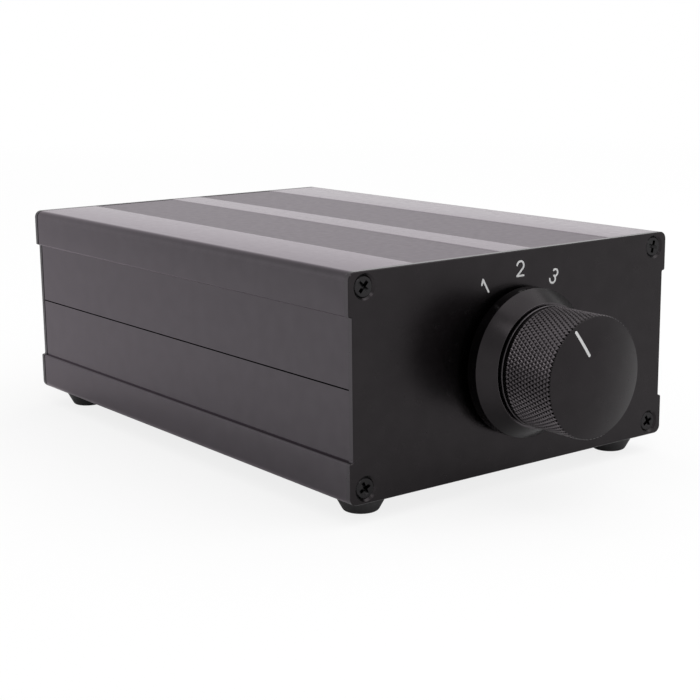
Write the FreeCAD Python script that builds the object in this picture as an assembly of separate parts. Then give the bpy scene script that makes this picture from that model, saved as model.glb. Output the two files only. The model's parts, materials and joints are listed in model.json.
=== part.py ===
import FreeCAD, Part
import math
import os
from FreeCAD import Vector

# A passive stereo source selector: an extruded aluminium case in two like halves between two end
# plates, a three-way rotary switch with a knurled knob in front, and four pairs of phono sockets
# behind. Millimetres. +X is to the right seen from the front, +Y is to the back, +Z is up.
# The origin is under the middle of the whole object, on the surface that its feet stand on.

# Case
CASE_W = 106.0
CASE_H = 55.0
SHELL_LEN = 155.0
PANEL_T = 1.5
CORNER_R = 2.0
WALL_T = 2.0
FLANGE_H = 10.4
FLANGE_PROUD = 1.0
EDGE_R = 0.3
STEP_EDGE_R = 0.5
PLATE_STEP_R = 0.45
PANEL_CHAMFER = 0.2

# Seam between the halves: each half has a tongue on one side and a rebate on the other
SEAM_CHAMFER = 0.3
TONGUE_H = 2.0
TONGUE_T = 0.9
TONGUE_GAP = 0.1

# Shallow bands sunk in the roof and in the floor
BAND_SIDE_W = 19.75
BAND_MID_W = 9.5
BAND_DEPTH = 0.1
BAND_SLOPE = 1.0

# Screw channels in the corners of the extrusion, and board rails inside its walls
SCREW_INSET_X = 4.6
SCREW_INSET_Z = 3.7
CHANNEL_R = 2.9
CHANNEL_SLIT = 1.0
RAIL_DEPTH = 1.5
RAIL_T = 1.2
RAIL_SLOT = 1.8
RAIL_Z = 8.0

# End-plate screws: M3 self-cutting, countersunk, cross recess
SCREW_R = 1.5
SCREW_CORE_R = 1.3
SCREW_LEN = 10.0
SCREW_HEAD_R = 2.75
SCREW_SUNK = 0.35
SCREW_HEAD_CHAMFER = 0.2
SCREW_HOLE_GAP = 0.1
THREAD_GAP = 0.05
SEAT_GAP = 0.03
SCREW_TIP = 0.5
CROSS_W = 0.9
CROSS_BOTTOM_W = 0.6
CROSS_SPAN = 3.3
CROSS_BOTTOM_SPAN = 1.6
CROSS_DEPTH = 1.1
CROSS_TURNS_FRONT = (42.0, 14.0, 63.0, 65.0)
CROSS_TURNS_REAR = (15.0, 55.0, 33.0, 80.0)

# Feet: round rubber bumpers stuck on by hand, so that each stands a little off its place in X
FOOT_H = 5.0
FOOT_TOP_R = 7.0
FOOT_BOTTOM_R = 4.3
FOOT_ROUND = 1.0
FOOT_INSET_X = 9.6
FOOT_INSET_Y = 10.0
FOOT_SHIFTS = {(-1, -1): 1.1, (1, -1): 0.4, (-1, 1): 0.5, (1, 1): -0.3}

# Printed numerals beside the knob
NUMERAL_GAP = 2.25
NUMERAL_H = 4.1
NUMERAL_W = 2.7
NUMERAL_STROKE = 0.5
INK_T = 0.05

# Positions of the switch, seen from the front, clockwise from straight up
POSITION_STEP = 30.0
POSITION_COUNT = 3
REST_ANGLE = -30.0

# Knob: distances are measured forwards from the front panel's face
KNOB_GAP = 1.5
SKIRT_R = 18.7
SKIRT_H = 3.2
SKIRT_CHAMFER = 0.3
CONE_TOP_PROUD = 0.6
CONE_H = 4.3
GROOVE_W = 0.4
GROOVE_DEPTH = 0.4
LIP_W = 0.6
LIP_PROUD = 0.1
NECK_LEN = 1.2
NECK_DEPTH = 0.3
GRIP_R = 15.0
GRIP_LEN = 14.25
RIM_CHAMFER = 0.25
DOME_RISE = 1.9
POINTER_FROM = 6.75
POINTER_TO = 14.0
POINTER_W = 0.75
POINTER_DEPTH = 0.4
NUT_RECESS_GAP = 1.5
CLIP_ROOM = 0.5
BORE_SPARE = 1.5
BORE_GAP = 0.05
GRUB_R = 1.5
GRUB_LEN = 8.0
GRUB_HEX = 1.5
GRUB_HEX_DEPTH = 1.6

# Switch: panel hardware in front, sealed body behind the panel
BUSH_R = 4.5
BUSH_REACH = 4.0
BUSH_HOLE_GAP = 0.1
LOCK_WASHER_R = 7.4
LOCK_WASHER_T = 0.6
TOOTH_COUNT = 12
TOOTH_SLOT_W = 0.8
TOOTH_SLOT_LEN = 1.2
NUT_FLATS = 12.0
NUT_T = 2.4
STOP_RING_GAP = 0.5
STOP_RING_T = 0.8
STOP_TAB_W = 1.6
STOP_TAB_PROUD = 1.0
PLATE_T = 3.0
BODY_R = 13.0
BODY_WALL = 1.4
BODY_LEN = 11.0
BASE_T = 3.0
LUG_R = 2.2
LUG_OUTSET = 1.2
BODY_SCREW_R = 1.0
BODY_SCREW_GRIP = 1.5
BODY_SCREW_HEAD_R = 1.9
BODY_SCREW_HEAD_T = 1.2
DRIVER_SLOT_W = 0.5
DRIVER_SLOT_DEPTH = 0.5
LOCATOR_R = 1.0
LOCATOR_INSET = 2.5
LOCATOR_LEN = 1.0
SHAFT_R = 3.0
SHAFT_REACH = 20.0
SHAFT_FLAT = 0.5
SHAFT_GAP = 0.05
SHAFT_END_PLAY = 0.1
SHOULDER_PROUD = 0.5
SHOULDER_T = 0.5
TAIL_R = 2.5
TAIL_FLAT = 0.5
PIVOT_R = 1.5
PIVOT_LEN = 1.5
PIVOT_END_GAP = 0.2
CLIP_R = 4.6
CLIP_T = 0.6
CLIP_GAP = 0.15
CLIP_SEAT_DEPTH = 0.5
CLIP_MOUTH = 0.9
ROTOR_GAP = 0.45
NOTCH_DEPTH = 0.4
NOTCH_COUNT = 12
BALL_R = 1.5
POCKET_WALL = 0.5
POCKET_FLOOR = 1.2
SPRING_WIRE_R = 0.2
SPRING_R = 1.1
SPRING_TURNS = 4
PAD_R = 1.1
PAD_EDGE = 0.25
PAD_T = 0.4
TRACK_W = 1.8
TRACK_SPAN = 78.0
WIPER_T = 0.3
WIPER_W = 1.6
PIN_R = 0.6
PIN_LEN = 6.0
SMALL_GAP = 0.05

# Phono sockets on the rear panel: columns seen from the front, rows above and below mid height
SOCKET_PITCH = 20.0
ROW_PITCH = 16.0
COLUMNS = ("input_1", "input_2", "input_3", "output")
BARREL_R = 4.15
BARREL_LEN = 7.5
BARREL_CHAMFER = 0.4
BARREL_BORE_R = 3.3
SOCKET_FLANGE_R = 5.5
SOCKET_FLANGE_T = 1.8
COLLAR_R = 6.2
COLLAR_T = 1.0
COLLAR_STEP_R = 4.7
COLLAR_STEP_LEN = 1.2
TAIL_THREAD_R = 4.0
TAIL_THREAD_LEN = 5.0
INSULATOR_TAIL = 1.0
PLUG_PIN_R = 1.6
PLUG_PIN_DEPTH = 8.0
CONTACT_WALL = 0.5
CONTACT_SUNK = 0.3
SOLDER_TAIL_R = 0.9
SOLDER_TAIL_LEN = 5.0
WASHER_T = 0.8
TAG_T = 0.4
TAG_W = 2.4
SOCKET_NUT_FLATS = 11.0
SOCKET_NUT_T = 2.2

# Hook-up wire
LEAD_R = 0.8
BUS_R = 0.5
LEAD_END_RUN = 22.0
LEAD_BOWS_LEFT = (2.0, 4.0, 2.0, -3.0)
LEAD_BOWS_RIGHT = (8.0, -3.0, 1.0, 5.0)

# Places worked out from the sizes
CASE_LEN = SHELL_LEN + 2 * PANEL_T
AXIS_Z = FOOT_H + CASE_H / 2
SIDE_X = CASE_W / 2 - FLANGE_PROUD
INNER_X = SIDE_X - WALL_T
SCREW_X = CASE_W / 2 - SCREW_INSET_X
SCREW_Z = CASE_H / 2 - SCREW_INSET_Z
SKIRT_TOP = KNOB_GAP + SKIRT_H
CONE_TOP = SKIRT_TOP + CONE_H
LIP_BASE = CONE_TOP + GROOVE_W
NECK_BASE = LIP_BASE + LIP_W
GRIP_BASE = NECK_BASE + NECK_LEN
GRIP_TOP = GRIP_BASE + GRIP_LEN
FACE_EDGE = GRIP_TOP + RIM_CHAMFER
KNOB_REACH = FACE_EDGE + DOME_RISE
SOCKET_REACH = COLLAR_T + SOCKET_FLANGE_T + BARREL_LEN
WHOLE_LEN = KNOB_REACH + CASE_LEN + SOCKET_REACH
FRONT_Y = KNOB_REACH - WHOLE_LEN / 2
REAR_Y = FRONT_Y + CASE_LEN
PLATE_Y = FRONT_Y + PANEL_T + STOP_RING_T
BODY_Y = PLATE_Y + PLATE_T
BASE_Y = BODY_Y + BODY_LEN
PIN_END_Y = BASE_Y + BASE_T + PIN_LEN
FACE_SPHERE_R = ((GRIP_R - RIM_CHAMFER) ** 2 + DOME_RISE ** 2) / (2 * DOME_RISE)
ROTOR_Y = BODY_Y + SHAFT_END_PLAY + SHOULDER_T + SMALL_GAP
BALL_Y = ROTOR_Y + POCKET_WALL + BALL_R
WIPER_Y = BASE_Y - PAD_T - SMALL_GAP - WIPER_T
SOLDER_END_Y = REAR_Y - PANEL_T - TAIL_THREAD_LEN - INSULATOR_TAIL - SOLDER_TAIL_LEN
RIDGE_R = BODY_R - BODY_WALL - NOTCH_DEPTH
ROTOR_R = RIDGE_R - ROTOR_GAP
CONTACT_RING_R = ROTOR_R - PAD_R - PAD_EDGE
COMMON_RING_R = (TAIL_R + CONTACT_RING_R - PAD_R) / 2
LUG_REACH = BODY_R + LUG_OUTSET
LOCATOR_REACH = BODY_R - LOCATOR_INSET
STOP_RING_R = LOCATOR_REACH - LOCATOR_R - STOP_RING_GAP
Y_AXIS = Vector(0, 1, 0)
AXIS_POINT = Vector(0, 0, AXIS_Z)

# How far a cutting tool runs past the face that it starts from
OVERRUN = 1.0


def rod(radius, y0, y1, x=0.0, z=AXIS_Z):
    """Round bar along Y."""
    return Part.makeCylinder(radius, y1 - y0, Vector(x, y0, z), Y_AXIS)


def tube(outer_r, inner_r, y0, y1, x=0.0, z=AXIS_Z):
    """Round sleeve along Y."""
    return rod(outer_r, y0, y1, x, z).cut(rod(inner_r, y0, y1, x, z))


def turned(profile, x=0.0, z=AXIS_Z):
    """Solid turned about a line along Y, from (y, radius) points."""
    points = [Vector(x + r, y, z) for y, r in profile]
    face = Part.Face(Part.makePolygon(points + points[:1]))
    return face.revolve(Vector(x, 0, z), Y_AXIS, 360)


def prism(outline, y0, y1):
    """Bar along Y whose section is a closed list of (x, z) points."""
    points = [Vector(x, y0, z) for x, z in outline]
    return Part.Face(Part.makePolygon(points + points[:1])).extrude(Vector(0, y1 - y0, 0))


def block(x0, x1, y0, y1, z0, z1):
    return Part.makeBox(x1 - x0, y1 - y0, z1 - z0, Vector(x0, y0, z0))


def hexagon(flats, y0, y1, x=0.0, z=AXIS_Z):
    corner = flats / math.sqrt(3)
    angles = [math.radians(60 * k) for k in range(6)]
    outline = [(x + corner * math.cos(a), z + corner * math.sin(a)) for a in angles]
    return prism(outline, y0, y1)


def turn(shape, angle, x=0.0, z=AXIS_Z):
    """Turn a shape about a line along Y, clockwise seen from the front."""
    moved = shape.copy()
    moved.rotate(Vector(x, 0, z), Y_AXIS, angle)
    return moved


def long_edges(shape, corners):
    """The edges along Y that stand at the given (x, z) corners."""
    found = []
    for edge in shape.Edges:
        a, b = edge.Vertexes[0].Point, edge.Vertexes[-1].Point
        along = abs(a.y - b.y) > 1 and abs(a.x - b.x) < 1e-6 and abs(a.z - b.z) < 1e-6
        if along and any(abs(a.x - x) < 1e-6 and abs(a.z - z) < 1e-6 for x, z in corners):
            found.append(edge)
    return found


def route(points, radius):
    """Round wire along straight runs joined by arcs as large as the runs allow."""
    edges = []
    radii = []
    start = points[0]
    for before, corner, after in zip(points, points[1:], points[2:]):
        u = (before - corner).normalize()
        v = (after - corner).normalize()
        half_turn = (math.pi - u.getAngle(v)) / 2
        set_back = 0.45 * min(corner.distanceToPoint(before), corner.distanceToPoint(after))
        radii.append(set_back / math.tan(half_turn))
        a = corner + u * set_back
        b = corner + v * set_back
        middle = (u + v).normalize()
        reach = radii[-1] / math.cos(half_turn) - radii[-1]
        edges.append(Part.LineSegment(start, a).toShape())
        edges.append(Part.Arc(a, corner + middle * reach, b).toShape())
        start = b
    edges.append(Part.LineSegment(start, points[-1]).toShape())
    spine = Part.Wire(edges)
    tangent = (points[1] - points[0]).normalize()
    section = Part.Wire(Part.makeCircle(radius, points[0], tangent))
    print("lead: %.1f mm long, tightest arc %.1f mm" % (spine.Length, min(radii)))
    return spine.makePipeShell([section], True, False)


def ring_places(radius, angles):
    """The (x, z) points at the given angles about the switch's axis."""
    turns = [math.radians(a) for a in angles]
    return [(radius * math.sin(t), AXIS_Z + radius * math.cos(t)) for t in turns]


# Case halves and end plates


def roof_outline():
    """The roof's outer line from left to right, with its two sunk bands, above mid height."""
    top = CASE_H / 2
    low = top - BAND_DEPTH
    edge = CASE_W / 2 - BAND_SIDE_W
    mid = BAND_MID_W / 2
    right = [(mid, top), (mid + BAND_SLOPE, low), (edge - BAND_SLOPE, low), (edge, top)]
    left = [(-x, z) for x, z in reversed(right)]
    return [(-CASE_W / 2, top)] + left + right + [(CASE_W / 2, top)]


def half_shell():
    """The upper half about mid height; its like turned half round is the lower one."""
    step_z = CASE_H / 2 - FLANGE_H
    ceiling = CASE_H / 2 - WALL_T
    tongue_x = INNER_X + TONGUE_T
    outline = [(-SIDE_X, 0), (-SIDE_X, step_z), (-CASE_W / 2, step_z)]
    outline += roof_outline()
    outline += [
        (CASE_W / 2, step_z),
        (SIDE_X, step_z),
        (SIDE_X, 0),
        (tongue_x, 0),
        (tongue_x, -TONGUE_H),
        (INNER_X, -TONGUE_H),
        (INNER_X, ceiling),
        (-INNER_X, ceiling),
        (-INNER_X, TONGUE_H + TONGUE_GAP),
        (-tongue_x - TONGUE_GAP, TONGUE_H + TONGUE_GAP),
        (-tongue_x - TONGUE_GAP, 0),
    ]
    y0 = FRONT_Y + PANEL_T
    y1 = REAR_Y - PANEL_T
    shell = prism(outline, y0, y1)
    for side in (-1, 1):
        channel = rod(CHANNEL_R, y0, y1, side * SCREW_X, SCREW_Z)
        shell = shell.fuse(channel)
        for z in (RAIL_Z, RAIL_Z + RAIL_T + RAIL_SLOT):
            rail = block(INNER_X - RAIL_DEPTH, INNER_X + TONGUE_T / 2, y0, y1, z, z + RAIL_T)
            shell = shell.fuse(rail if side > 0 else rail.mirror(Vector(), Vector(1, 0, 0)))
    for side in (-1, 1):
        hole = rod(SCREW_CORE_R + THREAD_GAP, y0, y1, side * SCREW_X, SCREW_Z)
        slit = block(0, CHANNEL_R + 1, y0, y1, -CHANNEL_SLIT / 2, CHANNEL_SLIT / 2)
        slit.rotate(Vector(), Y_AXIS, 45 if side < 0 else 135)
        slit.translate(Vector(side * SCREW_X, 0, SCREW_Z))
        shell = shell.cut(hole).cut(slit)
    shell = shell.removeSplitter()
    top = CASE_H / 2
    shell = shell.makeFillet(CORNER_R, long_edges(shell, [(-CASE_W / 2, top), (CASE_W / 2, top)]))
    steps = [(-CASE_W / 2, step_z), (CASE_W / 2, step_z)]
    shell = shell.makeFillet(STEP_EDGE_R, long_edges(shell, steps))
    seams = [(-SIDE_X, 0), (SIDE_X, 0)]
    return shell.makeChamfer(SEAM_CHAMFER, long_edges(shell, seams))


def case_half(angle):
    half = half_shell()
    half.translate(AXIS_POINT)
    return turn(half, angle)


def end_plate(y0, outer_side):
    """An end plate with its four countersunk holes; outer_side is -1 in front and 1 behind."""
    step_z = CASE_H / 2 - FLANGE_H
    right = [(CASE_W / 2, CASE_H / 2), (CASE_W / 2, step_z), (SIDE_X, step_z)]
    right += [(x, -z) for x, z in reversed(right)]
    outline = [(x, AXIS_Z + z) for x, z in right + [(-x, -z) for x, z in right]]
    plate = prism(outline, y0, y0 + PANEL_T)
    signs = [(sx, sz) for sx in (-1, 1) for sz in (-1, 1)]
    corners = [(sx * CASE_W / 2, AXIS_Z + sz * CASE_H / 2) for sx, sz in signs]
    plate = plate.makeFillet(CORNER_R, long_edges(plate, corners))
    steps = [(sx * x, AXIS_Z + sz * step_z) for x in (CASE_W / 2, SIDE_X) for sx, sz in signs]
    plate = plate.makeFillet(PLATE_STEP_R, long_edges(plate, steps))
    face_y = y0 if outer_side < 0 else y0 + PANEL_T
    rim = [e for e in plate.Edges if all(abs(v.Y - face_y) < 1e-6 for v in e.Vertexes)]
    plate = plate.makeChamfer(PANEL_CHAMFER, rim)
    hole_r = SCREW_R + SCREW_HOLE_GAP
    sink_r = SCREW_HEAD_R + SCREW_SUNK + SEAT_GAP
    for x, z in screw_places():
        bottom_y = face_y - outer_side * (sink_r - hole_r)
        sink = turned([(face_y, 0), (face_y, sink_r), (bottom_y, hole_r), (bottom_y, 0)], x, z)
        plate = plate.cut(rod(hole_r, y0, y0 + PANEL_T, x, z)).cut(sink)
    return plate


def screw_places():
    """The four corners, from the upper left, clockwise seen from the front."""
    signs = [(-1, 1), (1, 1), (1, -1), (-1, -1)]
    return [(sx * SCREW_X, AXIS_Z + sz * SCREW_Z) for sx, sz in signs]


def cross_recess(x, z, face_y, depth_side, angle):
    """Cross-shaped driver recess, narrower at its bottom."""
    wings = []
    for quarter in (0, 90):
        sections = []
        top = (0, CROSS_SPAN / 2, CROSS_W / 2)
        bottom = (CROSS_DEPTH, CROSS_BOTTOM_SPAN / 2, CROSS_BOTTOM_W / 2)
        for depth, half_span, half_w in (top, bottom):
            y = face_y + depth_side * depth
            signs = [(-1, -1), (1, -1), (1, 1), (-1, 1)]
            points = [Vector(x + a * half_span, y, z + b * half_w) for a, b in signs]
            sections.append(Part.makePolygon(points + points[:1]))
        wings.append(turn(Part.makeLoft(sections, True), angle + quarter, x, z))
    return wings[0].fuse(wings[1])


def plate_screws(face_y, depth_side, turns):
    """Four countersunk screws; depth_side is the way they are driven, 1 or -1 along Y."""
    screws = []
    for (x, z), angle in zip(screw_places(), turns):
        top_y = face_y + depth_side * SCREW_SUNK
        cone_len = min(PANEL_T - SCREW_SUNK - THREAD_GAP, SCREW_HEAD_R - SCREW_CORE_R)
        neck_y = top_y + depth_side * cone_len
        tip_y = top_y + depth_side * SCREW_LEN
        rim_y = top_y + depth_side * SCREW_HEAD_CHAMFER
        profile = [(top_y, 0), (top_y, SCREW_HEAD_R - 2 * SCREW_HEAD_CHAMFER)]
        profile += [(rim_y, SCREW_HEAD_R - SCREW_HEAD_CHAMFER), (neck_y, SCREW_HEAD_R - cone_len)]
        profile += [(neck_y, SCREW_CORE_R), (tip_y - depth_side * SCREW_TIP, SCREW_CORE_R)]
        profile += [(tip_y, SCREW_CORE_R - SCREW_TIP), (tip_y, 0)]
        screw = turned(profile, x, z)
        screws.append(screw.cut(cross_recess(x, z, top_y, depth_side, angle)))
    return screws


def foot(side_x, side_y):
    """A tapered rubber bumper with a rounded lower edge; side_y is -1 in front and 1 behind."""
    x = side_x * (CASE_W / 2 - FOOT_INSET_X) + FOOT_SHIFTS[side_x, side_y]
    y = FRONT_Y + FOOT_INSET_Y if side_y < 0 else REAR_Y - FOOT_INSET_Y
    cone = Part.makeCone(FOOT_BOTTOM_R, FOOT_TOP_R, FOOT_H, Vector(x, y, 0))
    lower_edge = [e for e in cone.Edges if all(abs(v.Z) < 1e-6 for v in e.Vertexes)]
    return cone.makeFillet(FOOT_ROUND, lower_edge)


# Front panel, its numerals and the knob


def front_panel():
    plate = end_plate(FRONT_Y, -1)
    plate = plate.cut(rod(BUSH_R + BUSH_HOLE_GAP, FRONT_Y, FRONT_Y + PANEL_T))
    locator_z = AXIS_Z - LOCATOR_REACH
    return plate.cut(rod(LOCATOR_R + BUSH_HOLE_GAP, FRONT_Y, FRONT_Y + PANEL_T, 0, locator_z))


def arc_edge(centre, radius, start, middle, end):
    """Arc in a numeral's own plane, through three angles in degrees, and its end point."""
    points = []
    for angle in (start, middle, end):
        a = math.radians(angle)
        points.append(Vector(centre[0] + radius * math.cos(a), 0, centre[1] + radius * math.sin(a)))
    return Part.Arc(*points).toShape(), points[2]


def numeral_lines():
    """Centre lines of the three numerals, each about its own middle."""
    w = (NUMERAL_W - NUMERAL_STROKE) / 2
    h = (NUMERAL_H - NUMERAL_STROKE) / 2
    one = [Vector(-w * 0.75, 0, h * 0.5), Vector(w * 0.1, 0, h), Vector(w * 0.1, 0, -h)]
    one_wire = Part.Wire([Part.LineSegment(a, b).toShape() for a, b in zip(one, one[1:])])
    hook, hook_end = arc_edge((0, h - w), w, 170, 80, -38)
    foot_left = Vector(-w, 0, -h)
    slope = Part.LineSegment(hook_end, foot_left).toShape()
    base = Part.LineSegment(foot_left, Vector(w, 0, -h)).toShape()
    two_wire = Part.Wire([hook, slope, base])
    upper_r = h * 0.47
    lower_r = h - upper_r
    upper = arc_edge((0, h - upper_r), upper_r, 160, 40, -90)[0]
    lower = arc_edge((0, lower_r - h), lower_r, 90, 0, -160)[0]
    three_wire = Part.Wire([upper, lower])
    return [one_wire, two_wire, three_wire]


def numerals():
    """The figures 1, 2 and 3 at their switch positions, as thin raised ink."""
    figures = []
    for k, line in enumerate(numeral_lines()):
        outline = line.makeOffset2D(NUMERAL_STROKE / 2, 0, False, False, False)
        ink = Part.Face(outline).extrude(Vector(0, INK_T, 0))
        ink.translate(Vector(0, FRONT_Y - INK_T, AXIS_Z + SKIRT_R + NUMERAL_GAP + NUMERAL_H / 2))
        figures.append(turn(ink, REST_ANGLE + k * POSITION_STEP))
    return figures


def pointer_bar():
    """The pointer's slot in the knob's face, straight up, open to the front."""
    half_w = POINTER_W / 2
    y1 = FRONT_Y - FACE_EDGE + POINTER_DEPTH
    y0 = FRONT_Y - KNOB_REACH - OVERRUN
    low = AXIS_Z + POINTER_FROM + half_w
    high = AXIS_Z + POINTER_TO - half_w
    bar = block(-half_w, half_w, y0, y1, low, high)
    return bar.fuse(rod(half_w, y0, y1, 0, low)).fuse(rod(half_w, y0, y1, 0, high))


def knob_outside():
    """The knob's turned outer form, its face crowned."""
    def y(h):
        return FRONT_Y - h
    profile = [
        (y(KNOB_GAP), 0),
        (y(KNOB_GAP), SKIRT_R - SKIRT_CHAMFER),
        (y(KNOB_GAP + SKIRT_CHAMFER), SKIRT_R),
        (y(SKIRT_TOP), SKIRT_R),
        (y(CONE_TOP), GRIP_R + CONE_TOP_PROUD),
        (y(CONE_TOP), GRIP_R - GROOVE_DEPTH),
        (y(LIP_BASE), GRIP_R - GROOVE_DEPTH),
        (y(LIP_BASE), GRIP_R + LIP_PROUD),
        (y(NECK_BASE), GRIP_R + LIP_PROUD),
        (y(NECK_BASE), GRIP_R - NECK_DEPTH),
        (y(GRIP_BASE), GRIP_R - NECK_DEPTH),
        (y(GRIP_BASE), GRIP_R),
        (y(GRIP_TOP), GRIP_R),
        (y(FACE_EDGE), GRIP_R - RIM_CHAMFER),
        (y(KNOB_REACH + OVERRUN), GRIP_R - RIM_CHAMFER),
        (y(KNOB_REACH + OVERRUN), 0),
    ]
    centre = Vector(0, FRONT_Y - KNOB_REACH + FACE_SPHERE_R, AXIS_Z)
    return turned(profile).common(Part.makeSphere(FACE_SPHERE_R, centre))


def grub_height():
    """The grub screw's line crosses the middle of the cone."""
    return SKIRT_TOP + CONE_H / 2


def knob():
    """The knob with its shaft bore, nut recess, grub-screw hole and pointer slot."""
    recess_top = LOCK_WASHER_T + NUT_T + NUT_RECESS_GAP
    clip_top = BUSH_REACH + CLIP_GAP + CLIP_T + CLIP_GAP
    recess_r = LOCK_WASHER_R + NUT_RECESS_GAP
    body = knob_outside()
    body = body.cut(rod(recess_r, FRONT_Y - recess_top, FRONT_Y))
    body = body.cut(rod(CLIP_R + CLIP_ROOM, FRONT_Y - clip_top, FRONT_Y))
    body = body.cut(rod(SHAFT_R + BORE_GAP, FRONT_Y - SHAFT_REACH - BORE_SPARE, FRONT_Y))
    grub_y = FRONT_Y - grub_height()
    hole_start = Vector(0, grub_y, AXIS_Z)
    hole = Part.makeCylinder(GRUB_R + THREAD_GAP, SKIRT_R, hole_start, Vector(0, 0, -1))
    body = body.cut(hole).cut(pointer_bar())
    return turn(body, REST_ANGLE)


def knob_pointer():
    """White filling of the pointer's slot, level with the crowned face."""
    centre = Vector(0, FRONT_Y - KNOB_REACH + FACE_SPHERE_R, AXIS_Z)
    filling = pointer_bar().common(Part.makeSphere(FACE_SPHERE_R, centre))
    return turn(filling, REST_ANGLE)


def grub_screw():
    """Headless screw that bears on the shaft's flat."""
    grub_y = FRONT_Y - grub_height()
    top = AXIS_Z - (SHAFT_R - SHAFT_FLAT)
    body = Part.makeCylinder(GRUB_R, GRUB_LEN, Vector(0, grub_y, top), Vector(0, 0, -1))
    corner = GRUB_HEX / math.sqrt(3)
    angles = [math.radians(60 * k) for k in range(7)]
    bottom = top - GRUB_LEN
    ring = [Vector(corner * math.cos(a), grub_y + corner * math.sin(a), bottom) for a in angles]
    socket = Part.Face(Part.makePolygon(ring)).extrude(Vector(0, 0, GRUB_HEX_DEPTH))
    return turn(body.cut(socket), REST_ANGLE)


# Rotary switch


def switch_shaft():
    """Shaft with a flat for the grub screw, a clip groove, and a keyed tail in the rotor."""
    clip_y = clip_place()
    shoulder_y = BODY_Y + SHAFT_END_PLAY
    tail_y = BASE_Y - SHAFT_END_PLAY
    profile = [
        (FRONT_Y - SHAFT_REACH, 0),
        (FRONT_Y - SHAFT_REACH, SHAFT_R - EDGE_R),
        (FRONT_Y - SHAFT_REACH + EDGE_R, SHAFT_R),
        (clip_y - CLIP_T - SEAT_GAP, SHAFT_R),
        (clip_y - CLIP_T - SEAT_GAP, SHAFT_R - CLIP_SEAT_DEPTH),
        (clip_y + SEAT_GAP, SHAFT_R - CLIP_SEAT_DEPTH),
        (clip_y + SEAT_GAP, SHAFT_R),
        (shoulder_y, SHAFT_R),
        (shoulder_y, SHAFT_R + SHOULDER_PROUD),
        (shoulder_y + SHOULDER_T, SHAFT_R + SHOULDER_PROUD),
        (shoulder_y + SHOULDER_T, TAIL_R),
        (tail_y, TAIL_R),
        (tail_y, PIVOT_R),
        (BASE_Y + PIVOT_LEN, PIVOT_R),
        (BASE_Y + PIVOT_LEN, 0),
    ]
    shaft = turned(profile)
    flat_z = AXIS_Z - SHAFT_R + SHAFT_FLAT
    flat_y = FRONT_Y - grub_height() + GRUB_R + THREAD_GAP + EDGE_R
    grip_flat = block(-SHAFT_R, SHAFT_R, FRONT_Y - SHAFT_REACH, flat_y, AXIS_Z - SHAFT_R, flat_z)
    key_z = AXIS_Z - TAIL_R + TAIL_FLAT
    key_flat = block(-TAIL_R, TAIL_R, shoulder_y + SHOULDER_T, tail_y, AXIS_Z - TAIL_R, key_z)
    return turn(shaft.cut(grip_flat).cut(key_flat), REST_ANGLE)


def clip_place():
    """Y of the retaining clip's rear face, just in front of the bush."""
    return FRONT_Y - BUSH_REACH - CLIP_GAP


def shaft_clip():
    """Open retaining clip in the shaft's groove."""
    y1 = clip_place()
    inner_r = SHAFT_R - CLIP_SEAT_DEPTH + SMALL_GAP
    ring = tube(CLIP_R, inner_r, y1 - CLIP_T, y1)
    half_mouth = inner_r * CLIP_MOUTH
    mouth = block(-half_mouth, half_mouth, y1 - CLIP_T, y1, AXIS_Z, AXIS_Z + CLIP_R)
    return turn(ring.cut(mouth), REST_ANGLE)


def lug_places():
    return [(-LUG_REACH, AXIS_Z), (LUG_REACH, AXIS_Z)]


def lugged_disc(y0, y1):
    """Round plate with a screw lug on each side."""
    disc = rod(BODY_R, y0, y1)
    for x, z in lug_places():
        disc = disc.fuse(rod(LUG_R, y0, y1, x, z))
        disc = disc.fuse(block(min(x, 0), max(x, 0), y0, y1, z - LUG_R, z + LUG_R))
    return disc.removeSplitter()


def bush_plate():
    """Cast mounting plate with its threaded bush, locating peg and blind screw holes."""
    plate = lugged_disc(PLATE_Y, BODY_Y)
    plate = plate.fuse(rod(BUSH_R, FRONT_Y - BUSH_REACH, PLATE_Y))
    peg_z = AXIS_Z - LOCATOR_REACH
    peg_y = FRONT_Y + PANEL_T - LOCATOR_LEN
    plate = plate.fuse(rod(LOCATOR_R, peg_y, PLATE_Y, 0, peg_z))
    plate = plate.cut(rod(SHAFT_R + SHAFT_GAP, FRONT_Y - BUSH_REACH, BODY_Y))
    for x, z in lug_places():
        hole_y = BODY_Y - BODY_SCREW_GRIP - SMALL_GAP
        plate = plate.cut(rod(BODY_SCREW_R + SMALL_GAP, hole_y, BODY_Y, x, z))
    return plate


def stop_ring():
    """Flat ring under the panel whose bent tab sets how many positions the switch has."""
    y1 = PLATE_Y
    ring = tube(STOP_RING_R, BUSH_R + BUSH_HOLE_GAP, y1 - STOP_RING_T, y1)
    tab_top = AXIS_Z + STOP_RING_R + STOP_TAB_PROUD
    tab = block(-STOP_TAB_W / 2, STOP_TAB_W / 2, y1 - STOP_RING_T, y1, AXIS_Z, tab_top)
    tab = tab.cut(rod(BUSH_R + BUSH_HOLE_GAP, y1 - STOP_RING_T, y1))
    return ring.fuse(tab).removeSplitter()


def lock_washer():
    """Toothed washer between the panel and the nut."""
    y0 = FRONT_Y - LOCK_WASHER_T
    washer = tube(LOCK_WASHER_R, BUSH_R + BUSH_HOLE_GAP, y0, FRONT_Y)
    half_w = TOOTH_SLOT_W / 2
    slot = block(-half_w, half_w, y0, FRONT_Y, AXIS_Z + BUSH_R, AXIS_Z + BUSH_R + TOOTH_SLOT_LEN)
    for k in range(TOOTH_COUNT):
        washer = washer.cut(turn(slot, 360 * k / TOOTH_COUNT))
    return washer


def panel_nut():
    y1 = FRONT_Y - LOCK_WASHER_T
    return hexagon(NUT_FLATS, y1 - NUT_T, y1).cut(rod(BUSH_R + THREAD_GAP, y1 - NUT_T, y1))


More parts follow.
